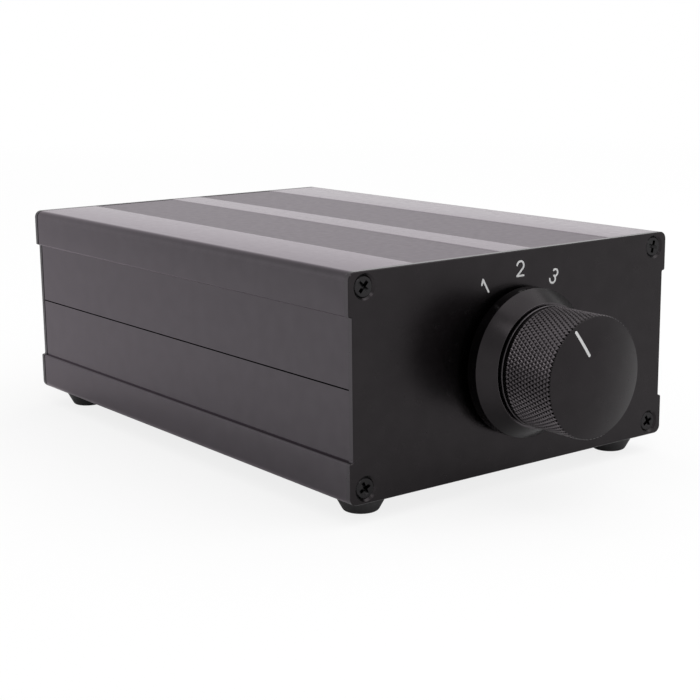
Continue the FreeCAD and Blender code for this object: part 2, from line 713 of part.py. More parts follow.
def switch_housing():
    """Moulded sleeve whose inner wall carries the detent notches."""
    sleeve = lugged_disc(BODY_Y, BASE_Y).cut(rod(RIDGE_R, BODY_Y, BASE_Y))
    notch_r = BALL_R + NOTCH_DEPTH
    for x, z in ring_places(RIDGE_R + NOTCH_DEPTH - notch_r, notch_angles()):
        sleeve = sleeve.cut(rod(notch_r, BODY_Y, BALL_Y + BALL_R + POCKET_WALL, x, z))
    for x, z in lug_places():
        sleeve = sleeve.cut(rod(BODY_SCREW_R + SMALL_GAP, BODY_Y, BASE_Y, x, z))
    return sleeve


def notch_angles():
    return [360.0 * k / NOTCH_COUNT for k in range(NOTCH_COUNT)]


def rotor():
    """Moulded rotor keyed to the shaft, with a radial pocket for each ball and its spring."""
    body = rod(ROTOR_R, ROTOR_Y, WIPER_Y)
    bore = rod(TAIL_R + SMALL_GAP, ROTOR_Y, WIPER_Y)
    key_z = AXIS_Z - TAIL_R + TAIL_FLAT - SMALL_GAP
    bore = bore.cut(block(-TAIL_R * 2, TAIL_R * 2, ROTOR_Y, WIPER_Y, AXIS_Z - 2 * TAIL_R, key_z))
    body = body.cut(bore)
    for side in (-1, 1):
        start = Vector(side * pocket_floor(), BALL_Y, AXIS_Z)
        pocket = Part.makeCylinder(BALL_R + SMALL_GAP, ROTOR_R, start, Vector(side, 0, 0))
        body = body.cut(pocket)
    return turn(body, REST_ANGLE)


def pocket_floor():
    """Distance of a ball pocket's floor from the axis."""
    return TAIL_R + POCKET_FLOOR


def ball_centre():
    """The balls stand just inside the ridges between the notches, so that the rotor can turn."""
    return RIDGE_R - SMALL_GAP - BALL_R


def detent_balls():
    balls = []
    for side in (-1, 1):
        centre = Vector(side * ball_centre(), BALL_Y, AXIS_Z)
        balls.append(turn(Part.makeSphere(BALL_R, centre), REST_ANGLE))
    return balls


def detent_springs():
    """One small compression spring behind each ball, wound from quarter-turn arcs."""
    springs = []
    start = pocket_floor() + SPRING_WIRE_R + SMALL_GAP
    end = ball_centre() - math.sqrt(BALL_R ** 2 - SPRING_R ** 2) - 2 * SPRING_WIRE_R
    pitch = (end - start) / SPRING_TURNS

    def on_helix(quarters):
        a = math.pi / 2 * quarters
        return Vector(start + pitch * quarters / 4, SPRING_R * math.cos(a), SPRING_R * math.sin(a))

    steps = range(4 * SPRING_TURNS)
    arcs = [Part.Arc(on_helix(k), on_helix(k + 0.5), on_helix(k + 1)).toShape() for k in steps]
    spine = Part.Wire(arcs)
    first = on_helix(0)
    tangent = (on_helix(0.01) - first).normalize()
    section = Part.Wire(Part.makeCircle(SPRING_WIRE_R, first, tangent))
    coil = spine.makePipeShell([section], True, False)
    print("spring: least gap between turns %.2f mm" % (pitch - 2 * SPRING_WIRE_R))
    coil.translate(Vector(0, BALL_Y, AXIS_Z))
    for angle in (0, 180):
        springs.append(turn(coil, REST_ANGLE + angle))
    return springs


def wipers():
    """Four spring-bronze wipers, one for each pole, that join a common to a position contact."""
    strips = []
    for quadrant in range(4):
        low = AXIS_Z + COMMON_RING_R - WIPER_W / 2
        high = AXIS_Z + CONTACT_RING_R + WIPER_W / 2
        strip = block(-WIPER_W / 2, WIPER_W / 2, WIPER_Y, WIPER_Y + WIPER_T, low, high)
        strips.append(turn(strip, REST_ANGLE + 90 * quadrant))
    return strips


def terminal_base():
    """Rear plate that carries the contacts and the rotor's pivot."""
    base = lugged_disc(BASE_Y, BASE_Y + BASE_T)
    base = base.cut(rod(PIVOT_R + SHAFT_GAP, BASE_Y, BASE_Y + PIVOT_LEN + PIVOT_END_GAP))
    hole_r = PIN_R + SMALL_GAP
    for x, z in position_places() + common_places():
        base = base.cut(rod(hole_r, BASE_Y, BASE_Y + BASE_T, x, z))
    for x, z in lug_places():
        base = base.cut(rod(BODY_SCREW_R + SMALL_GAP, BASE_Y, BASE_Y + BASE_T, x, z))
    return base


def position_places():
    return ring_places(CONTACT_RING_R, notch_angles())


def common_places():
    return ring_places(COMMON_RING_R, [90.0 * k for k in range(4)])


def terminal(x, z):
    """Contact head on the base's inner face and its solder pin behind."""
    return rod(PAD_R, BASE_Y - PAD_T, BASE_Y, x, z).fuse(rod(PIN_R, BASE_Y, PIN_END_Y, x, z))


def position_contacts():
    return [terminal(x, z) for x, z in position_places()]


def common_contacts():
    """Four curved common tracks, each with its solder pin."""
    tracks = []
    start = Vector(0, BASE_Y - PAD_T, AXIS_Z)
    hub = rod(COMMON_RING_R - TRACK_W / 2, BASE_Y - PAD_T, BASE_Y)
    sector = Part.makeCylinder(COMMON_RING_R + TRACK_W / 2, PAD_T, start, Y_AXIS, TRACK_SPAN)
    track = sector.cut(hub).Solids[0]
    middle = track.CenterOfMass - AXIS_POINT
    off_top = math.degrees(math.atan2(middle.x, middle.z))
    for k, (x, z) in enumerate(common_places()):
        pin = rod(PIN_R, BASE_Y, PIN_END_Y, x, z)
        tracks.append(turn(track, 90.0 * k - off_top).fuse(pin))
    return tracks


def switch_screws():
    """Two cheese-head screws that clamp base and housing to the plate."""
    screws = []
    head_y = BASE_Y + BASE_T
    for x, z in lug_places():
        shank = rod(BODY_SCREW_R, BODY_Y - BODY_SCREW_GRIP, head_y, x, z)
        top_y = head_y + BODY_SCREW_HEAD_T
        head = rod(BODY_SCREW_HEAD_R, head_y, top_y, x, z)
        half_w = DRIVER_SLOT_W / 2
        slot = block(x - LUG_R, x + LUG_R, top_y - DRIVER_SLOT_DEPTH, top_y, z - half_w, z + half_w)
        screws.append(shank.fuse(head).cut(slot))
    return screws


# Rear panel and its phono sockets


def socket_columns():
    """X of each column of sockets, from the first input to the output."""
    first = -SOCKET_PITCH * (len(COLUMNS) - 1) / 2
    return [first + SOCKET_PITCH * k for k in range(len(COLUMNS))]


def rows():
    """Name, height and inward direction of each row of sockets."""
    return [("left", AXIS_Z + ROW_PITCH / 2, -1), ("right", AXIS_Z - ROW_PITCH / 2, 1)]


def socket_places():
    places = []
    for column, x in zip(COLUMNS, socket_columns()):
        for row, z, inward in rows():
            places.append((column + "_" + row, x, z, inward))
    return places


def rear_panel():
    y0 = REAR_Y - PANEL_T
    plate = end_plate(y0, 1)
    for name, x, z, inward in socket_places():
        plate = plate.cut(rod(COLLAR_STEP_R + BUSH_HOLE_GAP, y0, REAR_Y, x, z))
    return plate


def socket_shell(x, z):
    """Turned outer contact: barrel, flange and threaded tail."""
    tip = REAR_Y + SOCKET_REACH
    flange = REAR_Y + COLLAR_T
    profile = [
        (REAR_Y - PANEL_T - TAIL_THREAD_LEN, BARREL_BORE_R),
        (REAR_Y - PANEL_T - TAIL_THREAD_LEN, TAIL_THREAD_R),
        (flange, TAIL_THREAD_R),
        (flange, SOCKET_FLANGE_R),
        (flange + SOCKET_FLANGE_T, SOCKET_FLANGE_R),
        (flange + SOCKET_FLANGE_T, BARREL_R),
        (tip - BARREL_CHAMFER, BARREL_R),
        (tip, BARREL_R - BARREL_CHAMFER),
        (tip, BARREL_BORE_R),
    ]
    return turned(profile, x, z)


def insulator(x, z):
    """Sleeve between the shell and the centre contact."""
    outer_r = BARREL_BORE_R - SMALL_GAP / 2
    inner_r = PLUG_PIN_R + CONTACT_WALL + SMALL_GAP / 2
    y0 = SOLDER_END_Y + SOLDER_TAIL_LEN
    return tube(outer_r, inner_r, y0, REAR_Y + SOCKET_REACH - BARREL_CHAMFER, x, z)


def centre_contact(x, z):
    """Sprung tube that takes the plug's pin, with a solder tail inside the case."""
    tip = REAR_Y + SOCKET_REACH - BARREL_CHAMFER - CONTACT_SUNK
    sleeve_end = SOLDER_END_Y + SOLDER_TAIL_LEN
    contact = rod(PLUG_PIN_R + CONTACT_WALL, sleeve_end, tip, x, z)
    contact = contact.cut(rod(PLUG_PIN_R, tip - PLUG_PIN_DEPTH, tip, x, z))
    return contact.fuse(rod(SOLDER_TAIL_R, SOLDER_END_Y, sleeve_end, x, z))


def socket_collar(x, z):
    """Coloured insulating collar with a step that centres it in the panel."""
    step_y = REAR_Y - COLLAR_STEP_LEN
    profile = [
        (step_y, TAIL_THREAD_R + SMALL_GAP),
        (step_y, COLLAR_STEP_R),
        (REAR_Y, COLLAR_STEP_R),
        (REAR_Y, COLLAR_R),
        (REAR_Y + COLLAR_T, COLLAR_R),
        (REAR_Y + COLLAR_T, TAIL_THREAD_R + SMALL_GAP),
    ]
    return turned(profile, x, z)


def rear_washer(x, z):
    y1 = REAR_Y - PANEL_T
    return tube(COLLAR_R, TAIL_THREAD_R + SMALL_GAP, y1 - WASHER_T, y1, x, z)


def solder_tag(x, z, inward):
    """Earth tag under the nut that reaches the bus wire between the rows."""
    y1 = REAR_Y - PANEL_T - WASHER_T
    ring = tube(SOCKET_FLANGE_R, TAIL_THREAD_R + SMALL_GAP, y1 - TAG_T, y1, x, z)
    reach = z + inward * (ROW_PITCH / 2 - BUS_R - SMALL_GAP)
    near = z + inward * (TAIL_THREAD_R + 2 * SMALL_GAP)
    tongue = block(x - TAG_W / 2, x + TAG_W / 2, y1 - TAG_T, y1, min(near, reach), max(near, reach))
    tongue = tongue.cut(rod(TAIL_THREAD_R + SMALL_GAP, y1 - TAG_T, y1, x, z))
    return ring.fuse(tongue).removeSplitter()


def socket_nut(x, z):
    y1 = REAR_Y - PANEL_T - WASHER_T - TAG_T
    y0 = y1 - SOCKET_NUT_T
    return hexagon(SOCKET_NUT_FLATS, y0, y1, x, z).cut(rod(TAIL_THREAD_R + THREAD_GAP, y0, y1, x, z))


def bus_wire():
    """Bare earth wire along the tags of all the sockets."""
    y = REAR_Y - PANEL_T - WASHER_T - TAG_T / 2
    x0 = socket_columns()[0] - TAG_W
    x1 = socket_columns()[-1] + TAG_W
    return Part.makeCylinder(BUS_R, x1 - x0, Vector(x0, y, AXIS_Z), Vector(1, 0, 0))


def lead(start, end, bow):
    """Lead from a switch pin to a socket's tail, with its middle bowed up by the given height."""
    y0 = PIN_END_Y
    y1 = SOLDER_END_Y
    middle_y = (y0 + y1) / 2
    points = [
        Vector(start[0], y0, start[1]),
        Vector(start[0], y0 + LEAD_END_RUN, start[1]),
        Vector((start[0] + end[0]) / 2, middle_y, (start[1] + end[1]) / 2 + bow),
        Vector(end[0], y1 - LEAD_END_RUN, end[1]),
        Vector(end[0], y1, end[1]),
    ]
    return route(points, LEAD_R)


def signal_leads(z, common_angle, bows):
    """The three input leads and the output lead of one channel."""
    turns = [common_angle + REST_ANGLE + POSITION_STEP * k for k in range(POSITION_COUNT)]
    starts = ring_places(CONTACT_RING_R, turns) + ring_places(COMMON_RING_R, [common_angle])
    return [lead(s, (x, z), bow) for s, x, bow in zip(starts, socket_columns(), bows)]


def save(name, shapes):
    """Write one node: a solid, or several like solids that share a node."""
    solids = shapes if isinstance(shapes, list) else [shapes]
    bodies = []
    for shape in solids:
        assert len(shape.Solids) == 1 and shape.isValid(), name
        bodies.append(shape.Solids[0])
    node = bodies[0] if len(bodies) == 1 else Part.makeCompound(bodies)
    node.exportStep("parts/" + name + ".step")


os.makedirs("parts", exist_ok=True)

save("upper_shell", case_half(0))
save("lower_shell", case_half(180))
save("front_panel", front_panel())
save("rear_panel", rear_panel())
save("front_panel_screws", plate_screws(FRONT_Y, 1, CROSS_TURNS_FRONT))
save("rear_panel_screws", plate_screws(REAR_Y, -1, CROSS_TURNS_REAR))
for side_name, side_x in (("left", -1), ("right", 1)):
    save("foot_front_" + side_name, foot(side_x, -1))
    save("foot_rear_" + side_name, foot(side_x, 1))
save("position_numerals", numerals())

save("knob", knob())
save("knob_pointer", knob_pointer())
save("knob_grub_screw", grub_screw())

save("switch_shaft", switch_shaft())
save("switch_shaft_clip", shaft_clip())
save("switch_bush_plate", bush_plate())
save("switch_stop_ring", stop_ring())
save("switch_lock_washer", lock_washer())
save("switch_panel_nut", panel_nut())
save("switch_housing", switch_housing())
save("switch_rotor", rotor())
save("switch_detent_balls", detent_balls())
save("switch_detent_springs", detent_springs())
save("switch_wipers", wipers())
save("switch_terminal_base", terminal_base())
save("switch_position_contacts", position_contacts())
save("switch_common_contacts", common_contacts())
save("switch_body_screws", switch_screws())

for socket_name, x, z, inward in socket_places():
    save("socket_shell_" + socket_name, socket_shell(x, z))
    save("socket_contact_" + socket_name, centre_contact(x, z))
for row, z, inward in rows():
    save("socket_collars_" + row, [socket_collar(x, z) for x in socket_columns()])
save("socket_insulators", [insulator(x, z) for name, x, z, inward in socket_places()])
save("socket_rear_washers", [rear_washer(x, z) for name, x, z, inward in socket_places()])
save("socket_solder_tags", [solder_tag(x, z, inward) for name, x, z, inward in socket_places()])
save("socket_nuts", [socket_nut(x, z) for name, x, z, inward in socket_places()])
save("earth_bus_wire", bus_wire())
left_z = AXIS_Z + ROW_PITCH / 2
right_z = AXIS_Z - ROW_PITCH / 2
save("signal_leads_left", signal_leads(left_z, 0.0, LEAD_BOWS_LEFT))
save("signal_leads_right", signal_leads(right_z, 180.0, LEAD_BOWS_RIGHT))
print("whole length %.2f, front panel at y %.2f, axis at z %.2f" % (WHOLE_LEN, FRONT_Y, AXIS_Z))
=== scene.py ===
import math

import bmesh
import bpy
from mathutils import Matrix, Vector
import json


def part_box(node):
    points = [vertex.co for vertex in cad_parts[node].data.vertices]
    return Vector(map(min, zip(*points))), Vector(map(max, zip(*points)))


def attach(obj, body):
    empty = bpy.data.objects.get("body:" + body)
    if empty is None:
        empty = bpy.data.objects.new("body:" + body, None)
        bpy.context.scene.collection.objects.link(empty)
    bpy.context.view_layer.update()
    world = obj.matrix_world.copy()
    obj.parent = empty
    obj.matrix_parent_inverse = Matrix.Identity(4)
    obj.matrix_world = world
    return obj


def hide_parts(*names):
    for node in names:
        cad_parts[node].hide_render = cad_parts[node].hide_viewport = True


# The looks of a passive stereo source selector: a black anodised extruded case in two halves,
# a knurled knob in front and phono sockets behind. Metres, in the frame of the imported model.
# +X is to the right seen from the front, +Y is to the back, +Z is up.

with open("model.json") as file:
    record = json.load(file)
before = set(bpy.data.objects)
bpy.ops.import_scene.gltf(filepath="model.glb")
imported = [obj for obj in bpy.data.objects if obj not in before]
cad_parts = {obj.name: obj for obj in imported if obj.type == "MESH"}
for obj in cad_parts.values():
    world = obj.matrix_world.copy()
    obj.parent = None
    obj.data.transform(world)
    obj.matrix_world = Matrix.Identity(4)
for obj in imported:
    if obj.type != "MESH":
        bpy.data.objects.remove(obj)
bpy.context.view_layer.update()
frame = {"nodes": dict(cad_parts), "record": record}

MM = 0.001

# Camera, fitted to the straight edges of the case in the photograph. Its angles are in degrees, and
# its lens and sensor in millimetres.
CAMERA_PLACE = (-0.2557, -0.3375, 0.1138)
CAMERA_YAW = 37.23
CAMERA_PITCH = 12.03
CAMERA_ROLL = -0.594
CAMERA_LENS = 77.94
CAMERA_SENSOR = 36.0
CAMERA_NEAR = 0.01

# Case sizes that the frame's boxes don't give. The roof has a strip at its full height in the
# middle and one along each side, with a sunk band between each two.
FLANGE_H = 10.4 * MM
FLANGE_PROUD = 1.0 * MM
WALL_T = 2.0 * MM
CORNER_R = 2.0 * MM
STEP_R = 0.5 * MM
JOINT_EDGE = 0.1 * MM
REAR_GAP = 0.45 * MM
SEAM_HALF_W = 0.17 * MM
SEAM_DEPTH = 0.85 * MM
TONGUE_H = 2.0 * MM
TONGUE_T = 0.9 * MM
TONGUE_GAP = 0.1 * MM
STRIP_MID_W = 9.5 * MM
STRIP_SIDE_W = 19.75 * MM
BAND_DEPTH = 0.1 * MM
BAND_SLOPE = 1.0 * MM
BAND_ROUND = 1.0 * MM
CHANNEL_INSET_X = 4.6 * MM
CHANNEL_INSET_Z = 3.7 * MM
CHANNEL_R = 2.9 * MM
CHANNEL_BORE_R = 1.35 * MM
CHANNEL_SLIT = 1.0 * MM
CHANNEL_STEPS = 24
RAIL_DEPTH = 1.5 * MM
RAIL_T = 1.2 * MM
RAIL_SLOT = 1.8 * MM
RAIL_Z = 8.0 * MM

# Knob, with distances measured forwards from its back face
SKIRT_H = 3.2 * MM
SKIRT_CHAMFER = 0.3 * MM
SKIRT_ROUND = 0.2 * MM
CONE_H = 4.3 * MM
CONE_TOP_PROUD = 0.6 * MM
CONE_ROUND = 0.12 * MM
GROOVE_W = 0.4 * MM
GROOVE_DEPTH = 0.4 * MM
LIP_W = 0.6 * MM
LIP_PROUD = 0.1 * MM
LIP_ROUND = 0.22 * MM
NECK_LEN = 1.2 * MM
NECK_DEPTH = 0.3 * MM
GRIP_R = 15.0 * MM
GRIP_LEN = 14.25 * MM
RIM_CHAMFER = 0.25 * MM
RIM_ROUND = 0.12 * MM
DOME_RISE = 1.9 * MM
TIP_DEPTH = 1.2 * MM
RECESS_R = 8.9 * MM
RECESS_DEPTH = 3.0 * MM
POINTER_FROM = 6.75 * MM
POINTER_TO = 14.0 * MM
POINTER_W = 0.75 * MM
POINTER_DEPTH = 0.4 * MM
POINTER_TURN = -30.0

# How far along the knob each part of it starts, and where the edge of its face is
CONE_TOP = SKIRT_H + CONE_H
LIP_START = CONE_TOP + GROOVE_W
NECK_START = LIP_START + LIP_W
GRIP_START = NECK_START + NECK_LEN
FACE_EDGE = GRIP_START + GRIP_LEN + RIM_CHAMFER

# The pointer's corners are rounded by just under half its width, so that two rounds don't meet
POINTER_CORNER_R = 0.999 * POINTER_W / 2

# Diamond knurl: how many diamonds stand round the grip and how many half diamonds along it, and
# the rings of each diamond, as its share of the full size and its depth under the crest. Two
# vertices are the same when their places agree to so many digits.
KNURL_COUNT = 83
KNURL_HALF_ROWS = 14
KNURL_DEPTH = 0.3 * MM
KNURL_RINGS = ((1.0, KNURL_DEPTH), (0.46, 0.03 * MM), (0.3, 0.0))
KNURL_DIGITS = 4

# How finely round forms are divided
TURNED_STEPS = 200
CORNER_STEPS = 6
DOME_RINGS = 16

# Edges above this angle in degrees stay sharp, and edges under this length are closed up
SHARP_ANGLE = 25.0
EMPTY_EDGE = 0.001 * MM

# A corner of an outline that is inset moves by no more than the distance over this
MITRE_LIMIT = 0.5

# How far a cutter stands over what it cuts, and the leeway in telling points by their height
CUTTER_OVER = 1.0 * MM
LEEWAY = 0.001 * MM

# Which finish of its piece a face takes, where that isn't the first in the piece's list
SUNK_FINISH = 1
KNURL_FINISH = 1
LIP_FINISH = 2

# Noise: its fineness in colours and in grain, the range that most of it keeps to, and the size of
# the patches of one colour
COLOUR_DETAIL = 3.0
GRAIN_DETAIL = 2.0
NOISE_LOW = 0.3
NOISE_HIGH = 0.7
PATCH = 4.0 * MM

# A face looks along Y when the square of its normal's Y is above this; such faces of the panel take
# its darker colours, as painted shade
FACING_Y = 0.25

# Stage: a pale floor in a white room that grows darker overhead, between two heights that are each
# the Z of a direction. Away from the object the floor is seen as plain white. Near it a share of
# its matt surface is seen, with the object's shadow on it, and more of it in reflections.
WHITE_LEVEL = 1.0
ROOM_LEVEL = 0.6
WALL_LOW = 0.2
WALL_HIGH = 0.7
FLOOR_SPAN = 60.0
FLOOR_COLOUR = (0.9, 0.9, 0.9, 1.0)
SHADOW_SEEN = 0.18
SHADOW_MIRRORED = 0.95
SHADOW_NEAR = 0.25
SHADOW_FAR = 1.2

# Square lamps that face the object's middle: place, size and power
LAMPS = {
    "front_lamp": ((0.7, -0.9, 0.9), 1.2, 4.9),
    "high_lamp": ((0.35, -0.05, 1.2), 1.3, 6.5),
    "left_lamp": ((-0.5, -0.8, 1.05), 0.4, 1.5),
}

# Places from the frame. The axis of the knob is at mid height, from which HALF_H and BAND_Z are
# counted.
upper_low, upper_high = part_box("upper_shell")
lower_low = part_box("lower_shell")[0]
knob_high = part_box("knob")[1]
HALF_W = upper_high.x
HALF_H = (upper_high.z - lower_low.z) / 2
AXIS_Z = (upper_high.z + lower_low.z) / 2
BAND_Z = HALF_H - BAND_DEPTH
SHELL_Y0 = upper_low.y
SHELL_Y1 = upper_high.y
SIDE_X = HALF_W - FLANGE_PROUD
INNER_X = SIDE_X - WALL_T
KNOB_BACK_Y = knob_high.y
SKIRT_R = knob_high.x


# Mesh helpers


def rounded_outline(corners):
    """Closed outline of (x, z) points through (x, z, radius) corners."""
    points = []
    for k, (x, z, radius) in enumerate(corners):
        here = Vector((x, z))
        if radius == 0:
            points.append(here)
            continue
        before = (Vector(corners[k - 1][:2]) - here).normalized()
        after = (Vector(corners[(k + 1) % len(corners)][:2]) - here).normalized()
        half = before.angle(after) / 2
        centre = here + (before + after).normalized() * radius / math.sin(half)
        start = (here + before * radius / math.tan(half) - centre).normalized()
        end = (here + after * radius / math.tan(half) - centre).normalized()
        for step in range(CORNER_STEPS + 1):
            points.append(centre + start.slerp(end, step / CORNER_STEPS) * radius)
    return points


def inset(outline, distance):
    """The outline moved inwards by a small distance."""
    area = sum(a.cross(b) for a, b in zip(outline, outline[1:] + outline[:1]))
    side = math.copysign(distance, area)
    moved = []
    for k, here in enumerate(outline):
        a = (here - outline[k - 1]).normalized()
        b = (outline[(k + 1) % len(outline)] - here).normalized()
        normal = Vector((-a.y - b.y, a.x + b.x)).normalized()
        moved.append(here + normal * side / max(MITRE_LIMIT, normal.dot(Vector((-a.y, a.x)))))
    return moved


def bridge(bm, first, second):
    """Faces between two closed rings of as many vertices."""
    for k in range(len(first)):
        bm.faces.new((first[k - 1], first[k], second[k], second[k - 1]))


def add_bar(bm, outline, y0, y1, edge=0.0, rebate=None):
    """Bar along Y with a closed section, a small chamfer in front and a chamfer or rebate behind."""
    sections = [(y0, inset(outline, edge)), (y0 + edge, outline)]
    if rebate:
        sections += [(y1 - REAR_GAP, outline), (y1 - REAR_GAP, rebate), (y1, rebate)]
    else:
        sections += [(y1 - edge, outline), (y1, inset(outline, edge))]
    rings = [[bm.verts.new((p.x, y, p.y)) for p in section] for y, section in sections]
    for a, b in zip(rings, rings[1:]):
        bridge(bm, a, b)
    bm.faces.new(rings[0])
    bm.faces.new(rings[-1])


def add_turned(bm, profile):
    """Surface turned about the knob's axis, from (y, radius) points; radius 0 closes it."""
    turns = [2 * math.pi * k / TURNED_STEPS for k in range(TURNED_STEPS)]
    rings = []
    for y, radius in profile:
        if radius == 0:
            rings.append([bm.verts.new((0, y, AXIS_Z))])
            continue
        around = [(radius * math.sin(t), y, AXIS_Z + radius * math.cos(t)) for t in turns]
        rings.append([bm.verts.new(place) for place in around])
    for a, b in zip(rings, rings[1:]):
        if len(a) == 1 or len(b) == 1:
            tip, ring = (a[0], b) if len(a) == 1 else (b[0], a)
            for k in range(TURNED_STEPS):
                bm.faces.new((tip, ring[k - 1], ring[k]))
        else:
            bridge(bm, a, b)


def carved(bm, cutter):
    """The first solid less the second, as a new bmesh."""
    objects = []
    for k, solid in enumerate((bm, cutter)):
        bmesh.ops.recalc_face_normals(solid, faces=solid.faces)
        mesh = bpy.data.meshes.new("carving_%d" % k)
        solid.to_mesh(mesh)
        solid.free()
        objects.append(bpy.data.objects.new("carving_%d" % k, mesh))
        bpy.context.scene.collection.objects.link(objects[-1])
    work, tool = objects
    cut = work.modifiers.new("cut", "BOOLEAN")
    cut.operation = "DIFFERENCE"
    cut.solver = "EXACT"
    cut.object = tool
    bpy.context.view_layer.update()
    result = bmesh.new()
    result.from_object(work, bpy.context.evaluated_depsgraph_get())
    for item in objects:
        bpy.data.objects.remove(item)
    return result


def joined(parts):
    """One bmesh of several."""
    whole = bmesh.new()
    for part in parts:
        mesh = bpy.data.meshes.new("part")
        part.to_mesh(mesh)
        part.free()
        whole.from_mesh(mesh)
        bpy.data.meshes.remove(mesh)
    return whole


def turned_round(bm, angle):
    """Turn a bmesh about the knob's axis, clockwise seen from the front."""
    turn = Matrix.Rotation(math.radians(angle), 3, "Y")
    bmesh.ops.rotate(bm, cent=(0, 0, AXIS_Z), matrix=turn, verts=bm.verts)


def make_piece(name, bm, body, nodes, materials):
    """Object of a bmesh that rides on a body and stands for CAD nodes."""
    bmesh.ops.dissolve_degenerate(bm, dist=EMPTY_EDGE, edges=bm.edges)
    bmesh.ops.recalc_face_normals(bm, faces=bm.faces)
    mesh = bpy.data.meshes.new(name)
    bm.to_mesh(mesh)
    bm.free()
    mesh.shade_smooth()
    mesh.set_sharp_from_angle(angle=math.radians(SHARP_ANGLE))
    for item in materials:
        mesh.materials.append(item)
    piece = bpy.data.objects.new(name, mesh)
    bpy.context.scene.collection.objects.link(piece)
    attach(piece, body)
    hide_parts(*nodes)


# Materials


def add_node(tree, kind, inputs=(), **settings):
    """Shader node with its settings, and with its inputs set to values or linked to sockets."""
    node = tree.nodes.new(kind)
    for key, value in settings.items():
        setattr(node, key, value)
    for key, value in dict(inputs).items():
        if isinstance(value, bpy.types.NodeSocket):
            tree.links.new(value, node.inputs[key])
        else:
            node.inputs[key].default_value = value
    return node


def noise(tree, size, detail=COLOUR_DETAIL):
    """Noise from 0 to 1 whose grains are about the given size."""
    place = add_node(tree, "ShaderNodeTexCoord").outputs["Object"]
    scale = [1 / size] * 3
    scaled = add_node(tree, "ShaderNodeVectorMath", {0: place, 1: scale}, operation="MULTIPLY")
    inputs = {"Vector": scaled.outputs[0], "Scale": 1.0, "Detail": detail}
    return add_node(tree, "ShaderNodeTexNoise", inputs).outputs["Fac"]


def spread(tree, value, low, high):
    """Noise about its middle, mapped from low to high."""
    limits = {"From Min": NOISE_LOW, "From Max": NOISE_HIGH, "To Min": low, "To Max": high}
    return add_node(tree, "ShaderNodeMapRange", {"Value": value, **limits}).outputs["Result"]


def calculated(tree, operation, first, second):
    """Result of a mathematical operation on two values or sockets."""
    return add_node(tree, "ShaderNodeMath", {0: first, 1: second}, operation=operation).outputs[0]


def blended(tree, share, first, second):
    """Colour between two, of which the second has the given share."""
    inputs = {"Factor": share, "A": first, "B": second}
    return add_node(tree, "ShaderNodeMix", inputs, data_type="RGBA").outputs["Result"]


def looks_along_y(tree):
    """1 on faces that look along Y and 0 on the others: the faces where the panel's painted shade
    goes.
    """
    normal = add_node(tree, "ShaderNodeTexCoord").outputs["Normal"]
    along = add_node(tree, "ShaderNodeSeparateXYZ", {0: normal}).outputs["Y"]
    return calculated(tree, "GREATER_THAN", calculated(tree, "MULTIPLY", along, along), FACING_Y)


def finish(
    name,
    colour,
    other,
    roughness,
    metallic=0.0,
    grain=0.2 * MM,
    depth=0.004 * MM,
    uneven=0.04,
    edge_tint=(1, 1, 1),
    sides=None,
):
    """Material between two near colours, uneven in roughness, with a fine grain in its surface.

    Faces that don't look along Y take the colour given for the sides, if there is one; on the panel
    the faces that do keep darker colours, as painted shade.
    """
    made = bpy.data.materials.new(name)
    made.use_nodes = True
    tree = made.node_tree
    shader = tree.nodes["Principled BSDF"]
    share = spread(tree, noise(tree, PATCH), 0.0, 1.0)
    shown = blended(tree, share, (*colour, 1), (*other, 1))
    if sides:
        shown = blended(tree, looks_along_y(tree), (*sides, 1), shown)
    tree.links.new(shown, shader.inputs["Base Color"])
    rough = spread(tree, noise(tree, PATCH / 2), roughness - uneven, roughness + uneven)
    tree.links.new(rough, shader.inputs["Roughness"])
    height = noise(tree, grain, GRAIN_DETAIL)
    bump = add_node(tree, "ShaderNodeBump", {"Height": height, "Strength": 1.0, "Distance": depth})
    tree.links.new(bump.outputs["Normal"], shader.inputs["Normal"])
    shader.inputs["Metallic"].default_value = metallic
    shader.inputs["Specular Tint"].default_value = (*edge_tint, 1)
    return made


# Black anodising on each part: the two colours that it lies between, and its roughness. The panel's
# colours, which the knob takes too, are set darker than the case's as painted shade for the dim
# floor before them; the knurl's are lighter as a painted sheen on its facets, and the lip's as a
# painted highlight on its rounded edge.
CASE_BLACK = ((0.069, 0.0632, 0.069), (0.0764, 0.07, 0.0764), 0.18)
SUNK_BLACK = (*CASE_BLACK[:2], 0.34)
PANEL_BLACK = ((0.025, 0.0226, 0.0239), (0.0275, 0.0249, 0.0263), 0.26)
KNURL_SHEEN_BLACK = ((0.1, 0.09, 0.096), (0.118, 0.106, 0.113), 0.3)
LIP_HIGHLIGHT_BLACK = ((0.058, 0.0525, 0.056), (0.066, 0.06, 0.064), 0.22)

# Colour of the case's gloss at a glancing angle
CASE_TINT = (0.98, 0.92, 0.97)

case_look = {"metallic": 1.0, "edge_tint": CASE_TINT, "uneven": 0.02, "grain": 0.15 * MM}
case_raised = finish("case_aluminium", *CASE_BLACK, depth=0.001 * MM, **case_look)
case_sunk = finish("case_aluminium_sunk", *SUNK_BLACK, depth=0.0005 * MM, **case_look)
panel_look = {"metallic": 1.0, "uneven": 0.015, "grain": 0.15 * MM, "depth": 0.001 * MM}
# The panel's sides keep the case's colour, and its front and back take darker colours as painted
# shade
panel_black = finish("panel_aluminium", *PANEL_BLACK, sides=CASE_BLACK[0], **panel_look)
knob_black = finish("knob_aluminium", *PANEL_BLACK, **panel_look)
# The knurl is lighter than the rest of the knob, as a painted sheen of the light its facets catch
knurl_sheen_black = finish("knob_aluminium_knurled_sheen", *KNURL_SHEEN_BLACK, metallic=1.0, depth=0)
# The lip and groove are lighter than the rest of the knob, as a painted highlight on the lip's
# rounded edge
lip_highlight_black = finish("knob_aluminium_lip_highlight", *LIP_HIGHLIGHT_BLACK, **panel_look)

